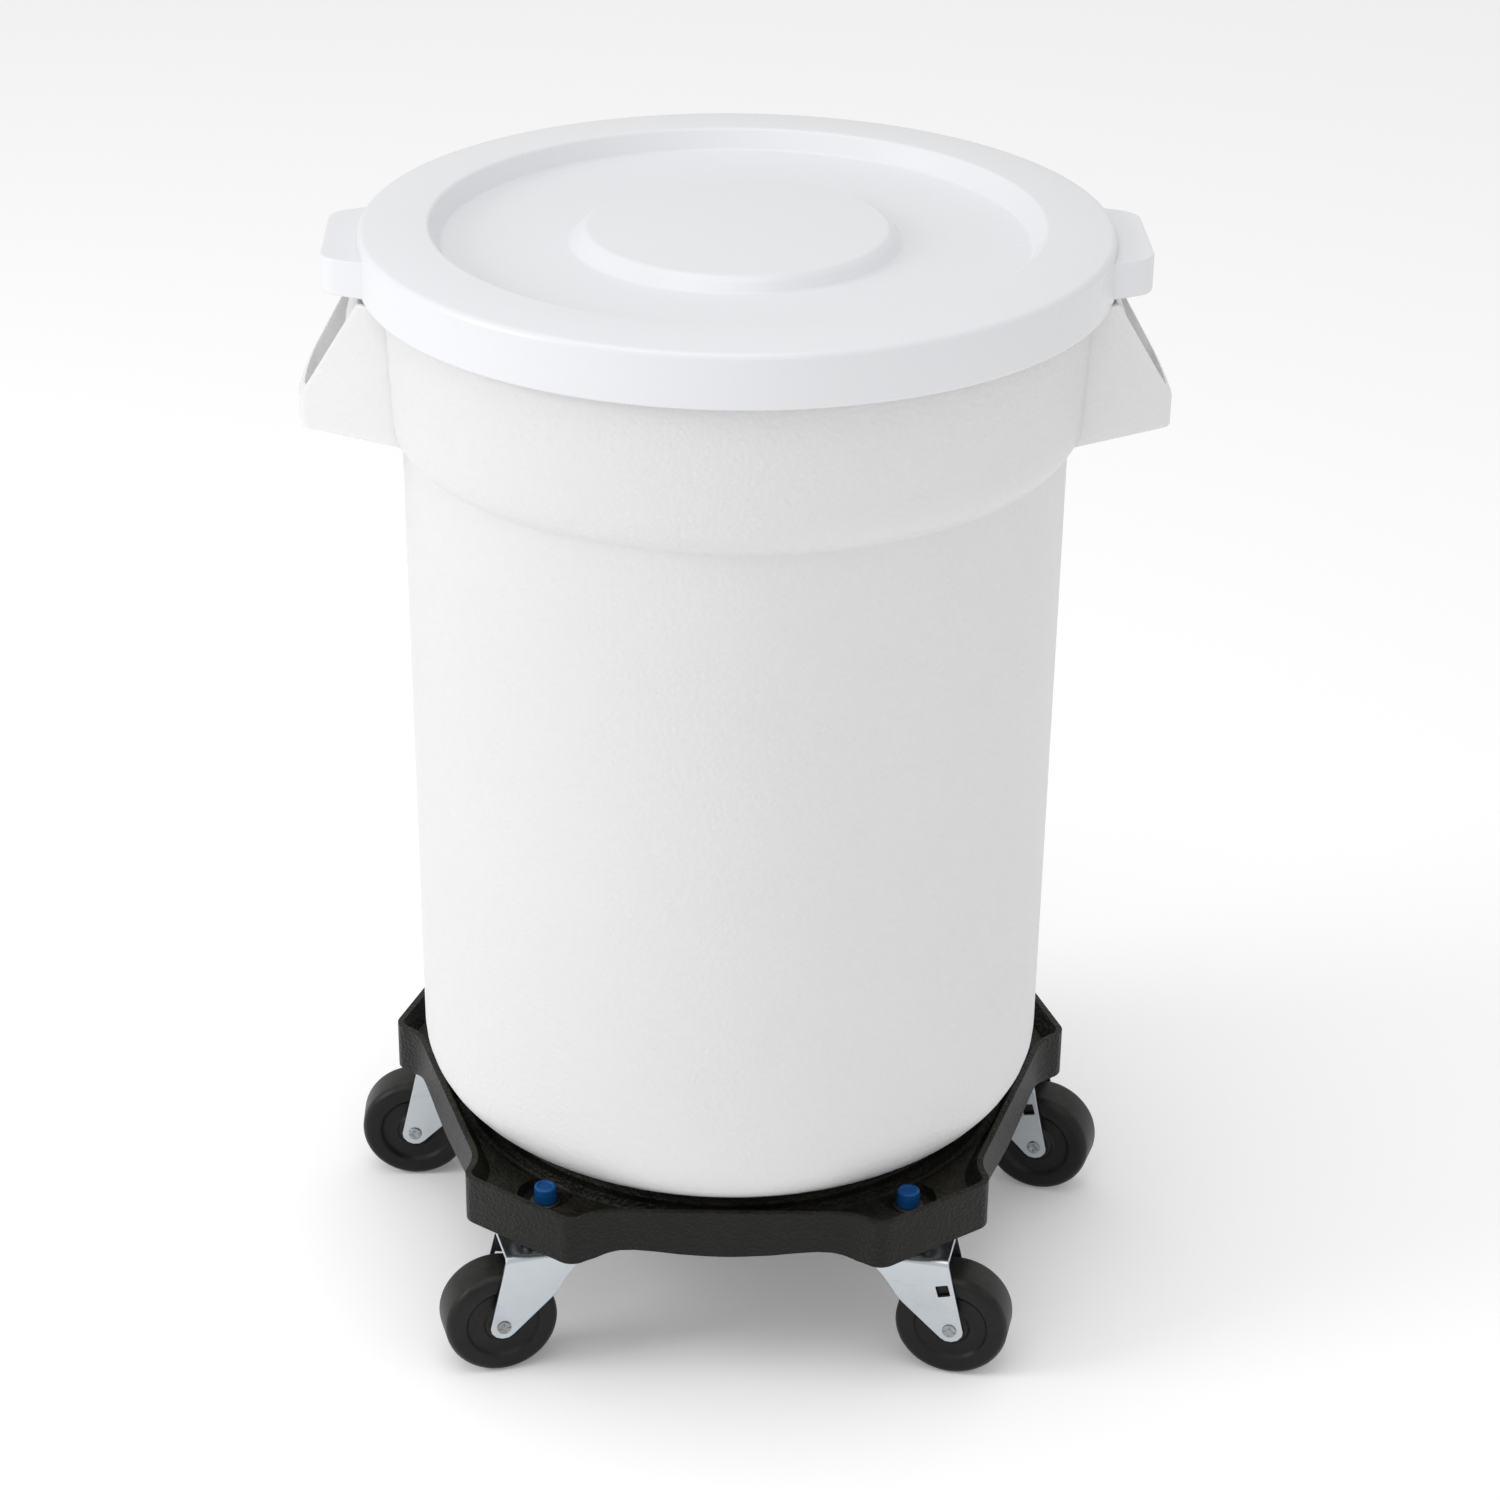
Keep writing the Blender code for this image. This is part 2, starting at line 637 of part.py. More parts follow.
# ---------------------------------------------------------------- assembly
def main():
    clear_scene()
    white = material("white_polyethylene", (0.86, 0.86, 0.86), 0.5)
    lid_white = material("lid_white_polyethylene", (0.82, 0.84, 0.88), 0.45)
    black = material("black_polyethylene", (0.02, 0.02, 0.018), 0.55)
    rubber = material("hard_black_rubber", (0.012, 0.012, 0.012), 0.5)
    zinc = material("zinc_plated_steel", (0.62, 0.66, 0.7), 0.32, 1.0)
    blue = material("blue_plastic", (0.01, 0.12, 0.42), 0.4)

    add_object("bucket_shell", bucket(), white, turn=BUCKET_TURN)
    add_object("lid", lid(), lid_white, turn=BUCKET_TURN)
    add_object("dolly_frame", dolly(), black)

    fixed = {
        "stem": (stem(), zinc),
        "stem_washer": (ring(STEM_RADIUS + GAP, 11 * MM, DECK_TOP + GAP, 121.8 * MM), zinc),
        "stem_cap": (cap(), blue),
        "top_race": (top_race(), zinc),
        "ball_ring": (ball_ring(), zinc),
        "fork": (fork(), zinc),
    }
    on_axle = {
        "axle_rivet": (axle_rivet(), zinc),
        "bushing": (bushing(), zinc),
        "wheel": (wheel(), rubber),
    }
    for name, lobe_angle, heading in CASTERS:
        spot = lobe_direction(lobe_angle) * SWIVEL_RADIUS
        swivel = add_object(f"swivel_{name}", None, location=(spot.x, spot.y, 0), turn=math.radians(heading))
        axle = add_object(f"axle_{name}", None, location=(TRAIL, 0, WHEEL_RADIUS), parent=swivel)
        for piece, (mesh, mat) in fixed.items():
            add_object(f"caster_{name}_{piece}", mesh, mat, parent=swivel)
        for piece, (mesh, mat) in on_axle.items():
            add_object(f"caster_{name}_{piece}", mesh, mat, parent=axle)


main()
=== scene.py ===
# %% [markdown]
# # A lidded bucket on a five-wheeled dolly
# The object is a tall white tub with a lid, standing on a black lobed dolly. The solid model comes
# first: it says where every part is and how it moves. Everything made here is placed on that frame,
# in metres, with +Z up, and each new piece takes over from the plain solid it stands for.

import math

import bmesh
import bpy
from mathutils import Matrix, Vector


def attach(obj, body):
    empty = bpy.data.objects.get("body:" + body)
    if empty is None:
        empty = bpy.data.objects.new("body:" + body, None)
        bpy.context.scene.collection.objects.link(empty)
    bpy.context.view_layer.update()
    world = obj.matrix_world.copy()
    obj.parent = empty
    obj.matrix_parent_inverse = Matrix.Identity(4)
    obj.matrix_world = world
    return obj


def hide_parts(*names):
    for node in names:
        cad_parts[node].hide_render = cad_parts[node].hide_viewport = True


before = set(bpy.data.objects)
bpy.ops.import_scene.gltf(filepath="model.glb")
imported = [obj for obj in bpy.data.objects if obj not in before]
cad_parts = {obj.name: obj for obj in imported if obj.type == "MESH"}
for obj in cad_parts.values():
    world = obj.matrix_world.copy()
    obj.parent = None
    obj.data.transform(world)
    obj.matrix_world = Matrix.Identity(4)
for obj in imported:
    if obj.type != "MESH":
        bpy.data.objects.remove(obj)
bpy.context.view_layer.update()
MM = 0.001

# %% [markdown]
# ## Camera
# The tub is seen from a little over two metres away, from above its lid, with a long lens, so the
# sides stay almost parallel. The camera could be aimed with a constraint, but fixed angles are
# simpler to read and give the same framing every time.

# %% Camera
camera_data = bpy.data.cameras.new("view")
camera_data.sensor_width = 36.0
camera_data.lens = 85.96
camera_data.shift_x = 0.00115
camera_data.shift_y = 0.0072
camera_data.clip_end = 60.0
camera = bpy.data.objects.new("view", camera_data)
bpy.context.scene.collection.objects.link(camera)
camera_tilt = Matrix.Rotation(math.radians(63.16), 4, "X")
camera_roll = Matrix.Rotation(0.0117, 4, "Z")
camera.matrix_world = Matrix.Translation((0.0108, -2.1586, 1.4588)) @ camera_tilt @ camera_roll
bpy.context.scene.camera = camera
print("camera at", [round(v, 3) for v in camera.matrix_world.translation])

# %% [markdown]
# ## Light and floor
# A white tub on a white ground needs soft light from all round, with one large soft lamp at the left
# so that the round wall turns from bright to pale grey. A plain white sky gives the soft part, a wide
# lamp overhead lights the lid, and a weak one in front opens up the shadows. The floor is one large
# pale sheet with a faint glow of its own, so that it stays near white round the object.

# %% Light and floor
bpy.context.scene.view_settings.view_transform = "Standard"
sky = bpy.data.worlds.new("white room")
sky.use_nodes = True
sky.node_tree.nodes["Background"].inputs["Color"].default_value = (1.0, 1.0, 1.0, 1.0)
sky.node_tree.nodes["Background"].inputs["Strength"].default_value = 0.70
bpy.context.scene.world = sky


def soft_lamp(name, place, target, size, watts):
    data = bpy.data.lights.new(name, "AREA")
    data.shape = "DISK"
    data.size = size
    data.energy = watts
    lamp = bpy.data.objects.new(name, data)
    bpy.context.scene.collection.objects.link(lamp)
    lamp.location = place
    lamp.rotation_euler = (Vector(target) - Vector(place)).to_track_quat("-Z", "Y").to_euler()
    return lamp


soft_lamp("key", (-3.0, -0.9, 1.9), (0, 0, 0.45), 1.4, 31)
soft_lamp("overhead", (-0.5, -0.8, 3.6), (0, 0, 0.3), 2.8, 28)
soft_lamp("front fill", (0.3, -3.2, 2.0), (0, 0, 0.5), 1.6, 4)

floor_mesh = bmesh.new()
bmesh.ops.create_grid(floor_mesh, x_segments=1, y_segments=1, size=9.0)
floor_data = bpy.data.meshes.new("floor")
floor_mesh.to_mesh(floor_data)
floor_mesh.free()
floor = bpy.data.objects.new("floor", floor_data)
bpy.context.scene.collection.objects.link(floor)
floor_finish = bpy.data.materials.new("pale floor")
floor_finish.use_nodes = True
floor_shader = floor_finish.node_tree.nodes["Principled BSDF"]
floor_shader.inputs["Base Color"].default_value = (0.97, 0.97, 0.97, 1.0)
floor_shader.inputs["Roughness"].default_value = 0.9
floor_shader.inputs["Specular IOR Level"].default_value = 0.0
floor_shader.inputs["Emission Color"].default_value = (1.0, 1.0, 1.0, 1.0)
floor_shader.inputs["Emission Strength"].default_value = 0.12
floor_data.materials.append(floor_finish)
print("lights and floor ready")

# %% [markdown]
# ## Shared finishes
# Moulded plastic, rubber and zinc all show three small things: a fine grain in the surface, a slow
# drift of tone, and the marks of use. Each is a node group with named inputs, built once and set to
# different values in each material. The groups read Object coordinates, so the pattern stays fixed
# to a part when it moves, and they put out only colours, masks and heights.


# %% Group building helper
def shader_group(name, inputs, outputs):
    group = bpy.data.node_groups.new(name, "ShaderNodeTree")
    for label, kind, value in inputs:
        socket = group.interface.new_socket(name=label, in_out="INPUT", socket_type=kind)
        socket.default_value = value
    for label, kind in outputs:
        group.interface.new_socket(name=label, in_out="OUTPUT", socket_type=kind)
    return group, group.nodes.new("NodeGroupInput"), group.nodes.new("NodeGroupOutput")


def maths(tree, operation, first, second=None):
    """A Math node; first and second are sockets or numbers. It gives back its output socket."""
    node = tree.nodes.new("ShaderNodeMath")
    node.operation = operation
    for slot, value in enumerate((first, second)):
        if isinstance(value, (int, float)):
            node.inputs[slot].default_value = value
        elif value is not None:
            tree.links.new(value, node.inputs[slot])
    return node.outputs[0]


def remap(tree, value, low, high, to_low=0.0, to_high=1.0):
    node = tree.nodes.new("ShaderNodeMapRange")
    node.interpolation_type = "SMOOTHSTEP"
    tree.links.new(value, node.inputs["Value"])
    for label, number in (("From Min", low), ("From Max", high), ("To Min", to_low), ("To Max", to_high)):
        node.inputs[label].default_value = number
    return node.outputs["Result"]


def noise(tree, coordinates, scale, detail=2.0, roughness=0.5):
    node = tree.nodes.new("ShaderNodeTexNoise")
    tree.links.new(coordinates, node.inputs["Vector"])
    node.inputs["Detail"].default_value = detail
    node.inputs["Roughness"].default_value = roughness
    if isinstance(scale, (int, float)):
        node.inputs["Scale"].default_value = scale
    else:
        tree.links.new(scale, node.inputs["Scale"])
    return node.outputs["Fac"]


print("helpers for shader groups ready")

# %% [markdown]
# ## Moulded grain
# A steel mould is etched or blasted, and the plastic copies its pebbled skin. Cells from a Voronoi
# pattern give the pebbles and a finer noise breaks them up. The slow noise is the drift of tone that
# cooling leaves in a large moulding.

# %% Moulded grain group
grain_group, start, end = shader_group(
    "moulded grain",
    [("Vector", "NodeSocketVector", (0, 0, 0)), ("Pebbles per Metre", "NodeSocketFloat", 500.0)],
    [("Height", "NodeSocketFloat"), ("Drift", "NodeSocketFloat")],
)
pebbles = grain_group.nodes.new("ShaderNodeTexVoronoi")
pebbles.feature = "SMOOTH_F1"
pebbles.inputs["Smoothness"].default_value = 0.6
grain_group.links.new(start.outputs["Vector"], pebbles.inputs["Vector"])
grain_group.links.new(start.outputs["Pebbles per Metre"], pebbles.inputs["Scale"])
fine_scale = maths(grain_group, "MULTIPLY", start.outputs["Pebbles per Metre"], 2.3)
fine = noise(grain_group, start.outputs["Vector"], fine_scale, 3.0)
pebble_height = maths(grain_group, "MULTIPLY", pebbles.outputs["Distance"], 0.7)
height = maths(grain_group, "ADD", pebble_height, maths(grain_group, "MULTIPLY", fine, 0.3))
grain_group.links.new(height, end.inputs["Height"])
grain_group.links.new(noise(grain_group, start.outputs["Vector"], 5.0, 4.0), end.inputs["Drift"])
print(grain_group.name, "group ready")

# %% [markdown]
# ## Marks of use
# A bucket gets short scuffs from being set down and pushed about. A noise pulled long in one
# direction and cut off near its top gives a few thin streaks. The mask only says where they are;
# each material decides how they look.

# %% Marks of use group
marks_group, start, end = shader_group(
    "marks of use",
    [("Vector", "NodeSocketVector", (0, 0, 0)), ("Streaks per Metre", "NodeSocketFloat", 9.0)],
    [("Streaks", "NodeSocketFloat"), ("Rubbed", "NodeSocketFloat")],
)
stretched = marks_group.nodes.new("ShaderNodeMapping")
stretched.inputs["Scale"].default_value = (1.0, 1.0, 14.0)
stretched.inputs["Rotation"].default_value = (0.35, 0.2, 0.0)
marks_group.links.new(start.outputs["Vector"], stretched.inputs["Vector"])
streaks = noise(marks_group, stretched.outputs["Vector"], start.outputs["Streaks per Metre"], 5.0, 0.6)
marks_group.links.new(remap(marks_group, streaks, 0.63, 0.74), end.inputs["Streaks"])
rubbed = noise(marks_group, start.outputs["Vector"], 22.0, 6.0, 0.65)
marks_group.links.new(remap(marks_group, rubbed, 0.5, 0.72), end.inputs["Rubbed"])
print(marks_group.name, "group ready")

# %% [markdown]
# ## Settled dust and painted sheen
# Dust lies on faces that look up and hardly at all on upright ones. The up part of the surface
# normal, broken by a noise, gives that as a mask. On the black dolly the same mask, with a brownish
# colour, is partly dust and partly painted sheen: the light caught by its up-facing sloping faces.

# %% Settled dust and painted sheen group
dust_and_sheen_group, start, end = shader_group(
    "settled dust_and_sheen",
    [("Vector", "NodeSocketVector", (0, 0, 0)), ("Amount", "NodeSocketFloat", 0.3)],
    [("Mask", "NodeSocketFloat")],
)
surface = dust_and_sheen_group.nodes.new("ShaderNodeNewGeometry")
direction = dust_and_sheen_group.nodes.new("ShaderNodeSeparateXYZ")
dust_and_sheen_group.links.new(surface.outputs["Normal"], direction.inputs["Vector"])
# faces that look up: dust everywhere, and on the dolly also painted sheen
facing_up = remap(dust_and_sheen_group, direction.outputs["Z"], 0.2, 0.95)
patchy = remap(dust_and_sheen_group, noise(dust_and_sheen_group, start.outputs["Vector"], 38.0, 6.0, 0.7), 0.3, 0.75)
dusty_and_sheened = maths(dust_and_sheen_group, "MULTIPLY", facing_up, patchy)
dust_and_sheen_group.links.new(maths(dust_and_sheen_group, "MULTIPLY", dusty_and_sheened, start.outputs["Amount"]), end.inputs["Mask"])
print(dust_and_sheen_group.name, "group ready")


# %% [markdown]
# ## Materials
# Every finish is the same small network with other values: a base colour that drifts a little, a
# second colour where it is marked, a third where dust lies (on the dolly partly dust and partly
# painted sheen), a roughness that follows the same masks, and a bump from the grain. The tub's
# plastic also lets a little light through. One function builds them all, so that the differences
# between the finishes are easy to see.


# %% Finish builder
def blend_colours(tree, mask, below, above):
    node = tree.nodes.new("ShaderNodeMix")
    node.data_type = "RGBA"
    tree.links.new(mask, node.inputs["Factor"])
    for label, value in (("A", below), ("B", above)):
        socket = [s for s in node.inputs if s.name == label and s.type == "RGBA"][0]
        if isinstance(value, tuple):
            socket.default_value = (*value, 1.0)
        else:
            tree.links.new(value, socket)
    return [s for s in node.outputs if s.type == "RGBA"][0]


LIGHT_DEPTH = 7 * MM


def finish(
    name, dark, light, marks, roughness, pebbles=500.0, bump=0.1, depth=0.2, streaks=0.3, dust_and_sheen=0.0,
    dust_and_sheen_colour=(0.3, 0.28, 0.24), metallic=0.0, specular=0.5, rough_marks=0.15, streak_scale=9.0,
    glow=0.0,
):
    mat = bpy.data.materials.new(name)
    mat.use_nodes = True
    tree = mat.node_tree
    shader = tree.nodes["Principled BSDF"]
    place = tree.nodes.new("ShaderNodeTexCoord").outputs["Object"]
    groups = {}
    for kind in (grain_group, marks_group, dust_and_sheen_group):
        node = tree.nodes.new("ShaderNodeGroup")
        node.node_tree = kind
        tree.links.new(place, node.inputs["Vector"])
        groups[kind.name] = node
    grain, used, dusty_and_sheened = (groups[k.name] for k in (grain_group, marks_group, dust_and_sheen_group))
    grain.inputs["Pebbles per Metre"].default_value = pebbles
    used.inputs["Streaks per Metre"].default_value = streak_scale
    dusty_and_sheened.inputs["Amount"].default_value = dust_and_sheen
    colour = blend_colours(tree, grain.outputs["Drift"], dark, light)
    streak_mask = maths(tree, "MULTIPLY", used.outputs["Streaks"], streaks)
    rubbed_mask = maths(tree, "MULTIPLY", used.outputs["Rubbed"], streaks * 0.6)
    mark_mask = maths(tree, "MAXIMUM", streak_mask, rubbed_mask)
    colour = blend_colours(tree, mark_mask, colour, marks)
    # dust colour on faces that look up; on the dolly it is partly dust and partly painted sheen
    colour = blend_colours(tree, dusty_and_sheened.outputs["Mask"], colour, dust_and_sheen_colour)
    tree.links.new(colour, shader.inputs["Base Color"])
    rough = maths(tree, "MULTIPLY", grain.outputs["Drift"], 0.12)
    rough = maths(tree, "ADD", rough, roughness - 0.06)
    rough = maths(tree, "ADD", rough, maths(tree, "MULTIPLY", mark_mask, rough_marks))
    rough = maths(tree, "ADD", rough, maths(tree, "MULTIPLY", dusty_and_sheened.outputs["Mask"], 0.3))
    tree.links.new(rough, shader.inputs["Roughness"])
    raised = tree.nodes.new("ShaderNodeBump")
    raised.inputs["Strength"].default_value = bump
    raised.inputs["Distance"].default_value = depth * MM
    tree.links.new(grain.outputs["Height"], raised.inputs["Height"])
    tree.links.new(raised.outputs["Normal"], shader.inputs["Normal"])
    shader.inputs["Metallic"].default_value = metallic
    shader.inputs["Specular IOR Level"].default_value = specular
    shader.inputs["Subsurface Weight"].default_value = glow
    shader.inputs["Subsurface Radius"].default_value = (1.0, 1.0, 1.0)
    shader.inputs["Subsurface Scale"].default_value = LIGHT_DEPTH
    return mat


white_tub = finish(
    "white moulded tub", (0.725, 0.725, 0.725), (0.765, 0.765, 0.765), (0.68, 0.68, 0.675), 0.42,
    pebbles=330.0, bump=0.6, depth=0.8, streaks=0.16, streak_scale=6.0, glow=0.3,
)
white_lid = finish(
    "cool white lid", (0.745, 0.755, 0.775), (0.785, 0.79, 0.815), (0.70, 0.705, 0.725), 0.28,
    pebbles=700.0, bump=0.15, depth=0.25, streaks=0.03, streak_scale=7.0,
)
# The dolly's brownish colour on up-facing faces is partly real dust and partly painted sheen of light on
# its sloping inner faces.
black_dolly = finish(
    "black moulded dolly", (0.003, 0.0038, 0.003), (0.008, 0.0088, 0.0065), (0.03, 0.029, 0.022), 0.44,
    pebbles=420.0, bump=0.8, depth=1.1, streaks=0.35, dust_and_sheen=0.2, dust_and_sheen_colour=(0.10, 0.08, 0.045),
    specular=0.22,
)
black_wheel = finish(
    "hard black wheel", (0.003, 0.0032, 0.003), (0.007, 0.007, 0.0065), (0.03, 0.029, 0.026), 0.4,
    pebbles=900.0, bump=0.25, depth=0.25, streaks=0.4, dust_and_sheen=0.08, streak_scale=30.0, specular=0.25,
)
bright_zinc = finish(
    "bright zinc", (0.46, 0.50, 0.53), (0.63, 0.665, 0.695), (0.36, 0.39, 0.43), 0.3,
    pebbles=1300.0, bump=0.2, depth=0.12, streaks=0.6, metallic=1.0, rough_marks=0.2, streak_scale=40.0,
)
staked_zinc = finish(
    "staked rivet zinc", (0.30, 0.31, 0.32), (0.42, 0.43, 0.44), (0.12, 0.12, 0.12), 0.36,
    pebbles=1800.0, bump=0.5, depth=0.2, streaks=0.9, metallic=1.0, rough_marks=0.2, streak_scale=90.0,
)
dull_zinc = finish(
    "greased steel", (0.16, 0.16, 0.155), (0.27, 0.27, 0.265), (0.06, 0.055, 0.05), 0.38,
    pebbles=1300.0, bump=0.25, depth=0.15, streaks=0.8, metallic=1.0, rough_marks=0.2, streak_scale=60.0,
)
blue_cap = finish(
    "blue plastic cap", (0.003, 0.065, 0.23), (0.006, 0.09, 0.30), (0.03, 0.16, 0.40), 0.38,
    pebbles=1600.0, bump=0.2, depth=0.15, streaks=0.3, dust_and_sheen=0.05, streak_scale=60.0, specular=0.25,
)
print("finishes:", [m.name for m in bpy.data.materials if m.name != "pale floor"])

# %% [markdown]
# ## Making and placing pieces
# Round parts are spun from a flat outline. The outline is drawn with sharp corners and a vertex
# bevel rounds each one by its own amount, so the drawing stays short. Plates are outlines that are
# extruded. Where two simple solids make a part by crossing or cutting, a boolean joins them. A small
# bevel on the sharp edges then catches the light, as a moulded or pressed edge does.


# %% Modelling helpers
def rounded_face(bm, corners, segments=5):
    """A flat face on (point, rounding) corners; rounding is how far back along each side it starts."""
    drawn = [(bm.verts.new(point), rounding) for point, rounding in corners]
    bm.faces.new([vert for vert, _ in drawn])
    for amount in sorted({rounding for _, rounding in drawn if rounding > 0}):
        picked = [vert for vert, rounding in drawn if rounding == amount]
        bmesh.ops.bevel(
            bm, geom=picked, offset=amount, segments=segments, profile=0.5, affect="VERTICES", material=-1
        )


def spun(corners, steps=96, segments=5):
    """A solid spun about Z from (radius, height, rounding) corners in millimetres."""
    bm = bmesh.new()
    rounded_face(bm, [((r * MM, 0, h * MM), c * MM) for r, h, c in corners], segments)
    bmesh.ops.delete(bm, geom=bm.faces[:], context="FACES_ONLY")
    outline = bm.verts[:] + bm.edges[:]
    bmesh.ops.spin(
        bm, geom=outline, cent=(0, 0, 0), axis=(0, 0, 1), angle=math.tau, steps=steps, use_merge=True
    )
    return cleaned(bm)


def cleaned(bm):
    """Merge doubled points, drop edges that bound no face and turn the faces outwards."""
    bmesh.ops.remove_doubles(bm, verts=bm.verts, dist=0.000004)
    bmesh.ops.dissolve_degenerate(bm, dist=0.000004, edges=bm.edges)
    loose = [e for e in bm.edges if not e.link_faces]
    bmesh.ops.delete(bm, geom=loose, context="EDGES")
    bmesh.ops.recalc_face_normals(bm, faces=bm.faces)
    return bm


def plate(corners, low, high, segments=5):
    """A plate on (x, y, rounding) corners between two heights, all in millimetres."""
    bm = bmesh.new()
    rounded_face(bm, [((x * MM, y * MM, low * MM), c * MM) for x, y, c in corners], segments)
    raised = bmesh.ops.extrude_face_region(bm, geom=bm.faces[:])
    top = [v for v in raised["geom"] if isinstance(v, bmesh.types.BMVert)]
    bmesh.ops.translate(bm, verts=top, vec=(0, 0, (high - low) * MM))
    return cleaned(bm)


def placed(bm, matrix):
    bmesh.ops.transform(bm, matrix=matrix, verts=bm.verts)
    return bm


def copied(bm, matrix):
    return placed(bm.copy(), matrix)


def crossed(bm, tools, operation):
    """The solid bm cut by, joined with or limited to the tool solids. All of them are used up."""
    scratch = []
    for solid in [bm, *tools]:
        mesh = bpy.data.meshes.new("scratch")
        solid.to_mesh(mesh)
        solid.free()
        scratch.append(bpy.data.objects.new("scratch", mesh))
        bpy.context.scene.collection.objects.link(scratch[-1])
    for tool in scratch[1:]:
        step = scratch[0].modifiers.new("cross", "BOOLEAN")
        step.operation = operation
        step.solver = "EXACT"
        step.object = tool
    result = bmesh.new()
    result.from_object(scratch[0], bpy.context.evaluated_depsgraph_get())
    for solid in scratch:
        bpy.data.objects.remove(solid, do_unlink=True)
    return cleaned(result)


def finished(bm, name, material, body, stands_for=(), edge=0.0, sharp=35):
    """Turn bm into a named piece that rides on a body of the frame."""
    mesh = bpy.data.meshes.new(name)
    bm.to_mesh(mesh)
    bm.free()
    mesh.materials.append(material)
    mesh.shade_smooth()
    mesh.set_sharp_from_angle(angle=math.radians(sharp))
    piece = bpy.data.objects.new(name, mesh)
    bpy.context.scene.collection.objects.link(piece)
    if edge:
        soften = piece.modifiers.new("soft edge", "BEVEL")
        soften.width = edge * MM
        soften.segments = 2
        soften.limit_method = "ANGLE"
        soften.angle_limit = math.radians(32)
        soften.harden_normals = True
    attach(piece, body)
    if stands_for:
        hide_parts(*stands_for)
    return piece


print("modelling helpers ready")

# %% [markdown]
# ## The tub
# The tub is one thin moulding: a dished base, an almost upright wall, a wide collar that stiffens
# the top, and a bead that the lid snaps over. It could be extruded ring by ring, but its wall is the
# same all the way round, so one closed outline spun about Z makes outside and inside together.

# %% Tub shell
TUB_TURN = Matrix.Rotation(math.radians(1.9), 4, "Z")
TUB_BASE = 137.0
WALL = 3.5
tub_outline = [
    (0, TUB_BASE + 6, 0), (144, TUB_BASE + 6, 1.5), (147, TUB_BASE, 1.5), (211.9, TUB_BASE, 40.5),
    (212.1, 186, 0), (214, 611, 1.2), (217.5, 614.5, 1.6), (223.2, 622, 5), (226, 633, 6),
    (229, 721, 3), (231.8, 725.4, 1.5), (234.8, 729, 2), (234.1, 741.7, 3.5), (226.5, 741.7, 1.2),
    (225.5, 721, 3), (222.5, 634, 6), (219.7, 623.5, 5), (210.5, 611, 4), (208.6, 186, 0),
    (208.4, TUB_BASE + WALL, 37), (149, TUB_BASE + WALL, 1), (146.5, TUB_BASE + 9.5, 1),
    (0, TUB_BASE + 9.5, 0),
]
tub = finished(
    placed(spun(tub_outline, 160, 8), TUB_TURN), "tub_shell", white_tub, "bucket",
    ["bucket_shell"], sharp=60,
)
print("tub:", len(tub.data.polygons), "faces, base at", TUB_BASE, "mm")

# %% [markdown]
# ## Handles of the tub
# Each handle is a hollow box that closes in outwards: two webs, a sloping roof near the collar and a
# grip bar, open between them. It starts as a solid wedge with a sloping top. A smaller wedge takes out
# the room for the fingers, and a thin sloping slab puts the roof in. The bar bows out a little.

# %% Handle shape
ROOT_X, TIP_X = 214.6, 275.5
ROOF_END_X = 243.0
HANDLE_LOW = 622.0
WEB = 4.2
ROOT_HALF, TIP_HALF = 70.0, 36.0
TIP_BOW = 3.2
HIGH = Vector((236, 0, 711))
LOW = Vector((276.0, 0, 642))


def wedge(inset, near, far, low, raised, round_by):
    """The handle's solid, pulled in by inset, between two distances out, its sloping top moved up."""

    def half(x):
        return ROOT_HALF + (TIP_HALF - ROOT_HALF) * (x - ROOT_X) / (TIP_X - ROOT_X) - inset

    bow = [(far + TIP_BOW * (1 - s * s), half(far) * s, 0) for s in (-0.6, -0.2, 0.2, 0.6)]
    corners = [(near, -half(near), 0), (far, -half(far), round_by), *bow, (far, half(far), round_by)]
    solid = plate([*corners, (near, half(near), 0)], low, HIGH.z + raised, 4)
    slope = (LOW - HIGH).normalized()
    bmesh.ops.bisect_plane(
        solid, geom=solid.verts[:] + solid.edges[:] + solid.faces[:], dist=0.000001,
        plane_co=(HIGH + Vector((0, 0, raised))) * MM, plane_no=(-slope.z, 0, slope.x), clear_outer=True,
    )
    bmesh.ops.holes_fill(solid, edges=[e for e in solid.edges if e.is_boundary])
    return cleaned(solid)


mid_wall = [
    (0, 560, 0), (212, 560, 0), (212.2, 611, 0), (221.4, 622, 0), (224.2, 633, 0), (227.2, 721, 0),
    (227.2, 760, 0), (0, 760, 0),
]
handle = wedge(0.0, 200, TIP_X, HANDLE_LOW, 0.0, 5)
room = wedge(WEB, 190, TIP_X - WEB, HANDLE_LOW - 22, 40.0, 4)
# the roof reaches half way into the webs and lies a little below their top edges
roof = wedge(WEB / 2, 201, ROOF_END_X, HANDLE_LOW + 4, -2.6, 0)
below_roof = wedge(0.0, 180, TIP_X, HANDLE_LOW - 22, -7.5, 5)
roof = crossed(roof, [below_roof], "DIFFERENCE")
handle = crossed(crossed(handle, [room], "DIFFERENCE"), [roof], "UNION")
handle = crossed(handle, [spun(mid_wall, 160)], "DIFFERENCE")
for side, turn in (("right", 0.0), ("left", math.pi)):
    piece = finished(
        copied(handle, TUB_TURN @ Matrix.Rotation(turn, 4, "Z")), f"tub_handle_{side}", white_tub,
        "bucket", edge=1.1,
    )
    print(piece.name, len(piece.data.polygons), "faces")
handle.free()

# %% [markdown]
# ## The lid
# The lid is a thin sheet too: a skirt that hangs over the tub's bead, a broad ring that slopes very
# slightly outwards, a sunk floor and a raised round panel. Again one outline is spun. A tab over each
# handle gives the fingers something to lift by; it is a rounded block hollowed from below.

